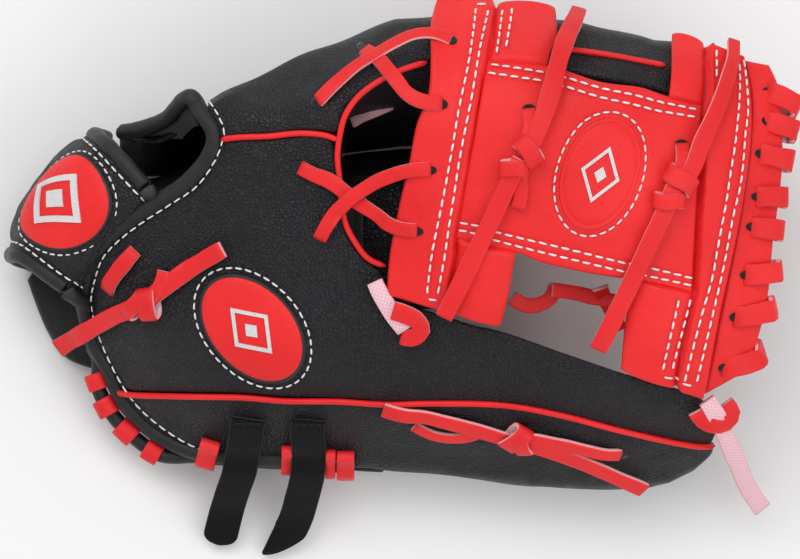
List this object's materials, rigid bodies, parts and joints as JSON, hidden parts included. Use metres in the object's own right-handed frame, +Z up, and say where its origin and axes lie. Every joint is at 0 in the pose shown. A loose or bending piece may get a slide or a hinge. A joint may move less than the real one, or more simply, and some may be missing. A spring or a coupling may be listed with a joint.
{
  "type": "baseball_glove",
  "caption": "Youth baseball glove in black pebbled leather with red web, laces and piping, wrist strap and two elastic pull straps, lying pocket down",
  "frame": {"origin": "middle of the ground under the glove", "axes": "x from wrist to finger tips, y toward the finger side, z up"},
  "size_m": [0.2886, 0.2012, 0.1056],
  "materials": {
    "black_leather": "pebbled black leather with white stitching",
    "binding_leather": "smooth rolled black leather",
    "red_leather": "smooth red leather, semi gloss",
    "rawhide_lace": "red rawhide lace with pale cut edges",
    "elastic_web": "ribbed black elastic",
    "padding": "felt padding",
    "lining": "soft dark lining"
  },
  "bodies": {
    "shell": {"thumb_base_back_panel": "black_leather", "heel_side_panel": "black_leather", "index_back_panel": "black_leather", "hand_back_panel": "black_leather", "palm_leather": "black_leather", "heel_palm_panel": "black_leather", "wrist_strap": "black_leather", "wrist_opening_binding": "binding_leather", "strap_upper_binding": "binding_leather", "strap_lower_binding": "binding_leather", "little_finger_loop": "binding_leather", "thumb_loop": "binding_leather", "web_cross_panel": "red_leather", "web_patch": "red_leather", "web_near_post": "red_leather", "web_far_post": "red_leather", "outer_lacing_strip": "red_leather", "thumb_patch": "red_leather", "strap_patch": "red_leather", "upper_piping": "red_leather", "crotch_piping": "red_leather", "heel_side_piping": "red_leather", "index_piping": "red_leather", "web_knot_lace_a": "rawhide_lace", "web_knot_lace_b": "rawhide_lace", "crotch_lace_1": "rawhide_lace", "crotch_lace_2": "rawhide_lace", "crotch_lace_3": "rawhide_lace", "crotch_lace_4": "rawhide_lace", "wrist_knot_lace": "rawhide_lace", "wrist_slot_lace": "rawhide_lace", "web_base_lace": "rawhide_lace", "web_edge_lace": "rawhide_lace", "heel_lace": "rawhide_lace", "palm_pad": "padding", "heel_pad": "padding", "palm_lining": "lining", "wrist_lining": "lining"},
    "thumb": {"thumb_back_panel": "black_leather", "thumb_side_panel": "black_leather", "thumb_palm_panel": "black_leather", "thumb_piping": "red_leather", "thumb_knot_lace": "rawhide_lace", "thumb_tip_lace": "rawhide_lace"},
    "fingers": {"middle_back_panel": "black_leather", "ring_back_panel": "black_leather", "little_back_panel": "black_leather", "finger_palm_panel": "black_leather", "finger_lace": "rawhide_lace"},
    "pull_strap_a_body": {"pull_strap_a": "elastic_web"},
    "pull_strap_b_body": {"pull_strap_b": "elastic_web"}
  },
  "joints": [
    {"name": "thumb_close", "type": "hinge", "parent": "shell", "child": "thumb", "pos_m": [-0.00446, -0.00706, 0.0745], "axis": [0.9536, -0.2913, -0.0767], "range_deg": [0, 12]},
    {"name": "fingers_close", "type": "hinge", "parent": "shell", "child": "fingers", "pos_m": [-0.022, 0.0553, 0.0785], "axis": [-0.9976, -0.067, -0.0149], "range_deg": [0, 12]},
    {"name": "pull_strap_a_lift", "type": "hinge", "parent": "shell", "child": "pull_strap_a_body", "pos_m": [-0.05522, -0.05026, 0.0455], "axis": [-1, 0, 0], "range_deg": [0, 100]},
    {"name": "pull_strap_b_lift", "type": "hinge", "parent": "shell", "child": "pull_strap_b_body", "pos_m": [-0.03362, -0.05062, 0.047], "axis": [-1, 0, 0], "range_deg": [0, 100]}
  ],
  "couplings": [
    {"joint": "fingers_close", "follows": "thumb_close", "ratio": 1}
  ]
}
